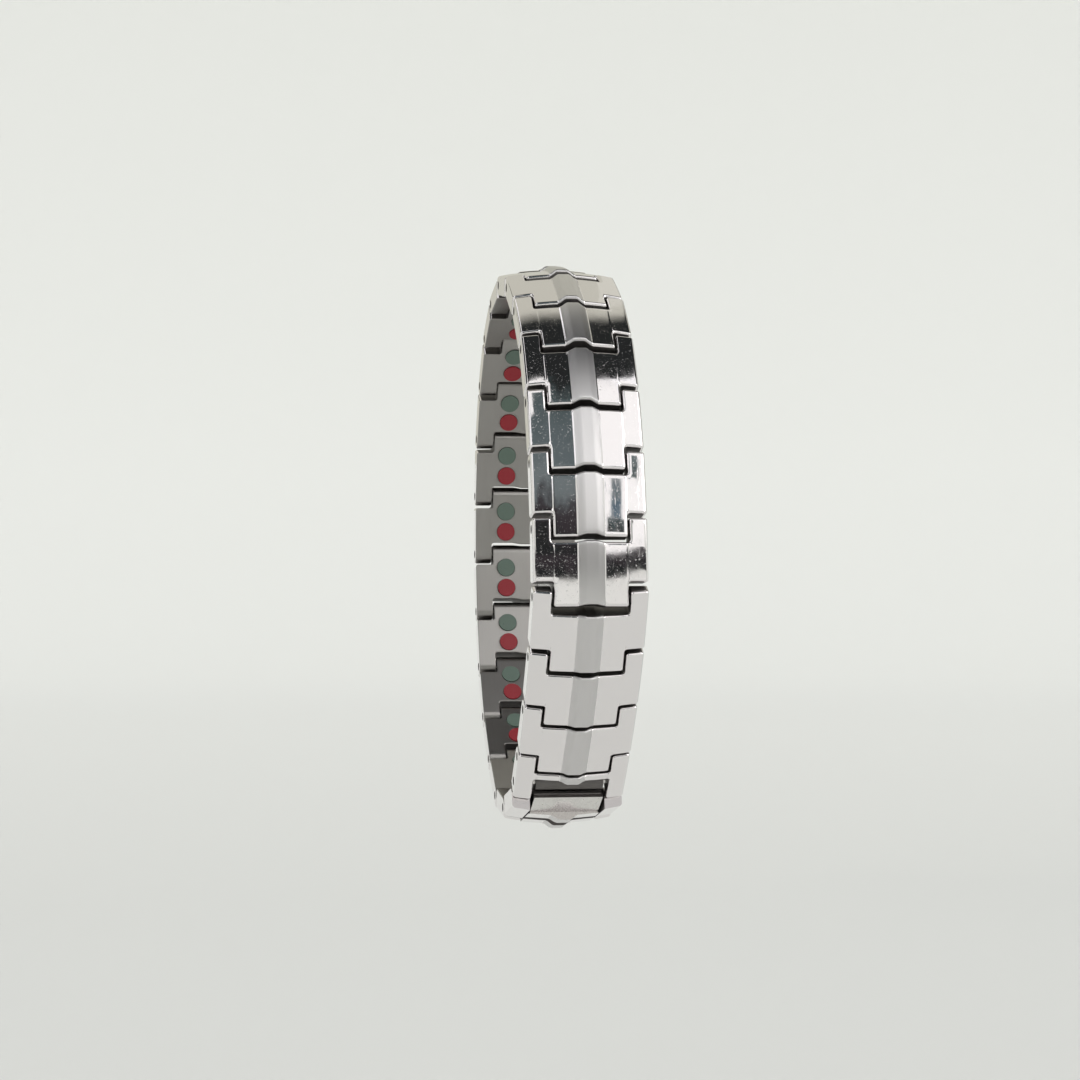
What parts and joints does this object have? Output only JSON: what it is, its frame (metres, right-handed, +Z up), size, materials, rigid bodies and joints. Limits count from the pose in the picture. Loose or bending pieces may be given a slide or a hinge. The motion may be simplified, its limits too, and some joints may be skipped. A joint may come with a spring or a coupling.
{
  "type": "magnetic link bracelet",
  "caption": "Closed steel link bracelet with a fold-over clasp, a satin ridge between polished facets and round inserts in its inner face.",
  "frame": {"origin": "where the highest link sits on the wrist, at the faces of its inserts, in the middle of the band's width", "axes": "+X along the wrist, -Y towards the front of the hanging loop, +Z up"},
  "size_m": [0.0138, 0.0619, 0.0724],
  "materials": {
    "link_steel": "mirror-polished facets and wings, satin ridge",
    "pin_steel": "ground ends",
    "magnet": "plated, matte",
    "germanium": "dark grey, half matte",
    "infrared_ceramic": "deep red, half matte",
    "ion_ceramic": "grey-green, half matte"
  },
  "bodies": {
    "bracelet": {"link_01": "link_steel", "link_02": "link_steel", "link_03": "link_steel", "link_04": "link_steel", "link_05": "link_steel", "link_06": "link_steel", "link_07": "link_steel", "link_08": "link_steel", "link_09": "link_steel", "link_10": "link_steel", "link_11": "link_steel", "link_12": "link_steel", "link_13": "link_steel", "link_14": "link_steel", "link_15": "link_steel", "link_16": "link_steel", "link_17": "link_steel", "link_18": "link_steel", "link_19": "link_steel", "link_20": "link_steel", "link_21": "link_steel", "link_22": "link_steel", "link_pins": "pin_steel", "magnets": "magnet", "germanium_discs": "germanium", "infrared_discs": "infrared_ceramic", "ion_discs": "ion_ceramic", "clasp_frame": "link_steel", "catch_pin": "pin_steel", "clasp_body": "link_steel", "lid_pin": "pin_steel"},
    "lid": {"clasp_lid": "link_steel"}
  },
  "joints": [
    {"name": "lid_hinge", "type": "hinge", "parent": "bracelet", "child": "lid", "pos_m": [0, -0.00428, -0.06495], "axis": [1, 0, 0], "range_deg": [0, 85]}
  ]
}
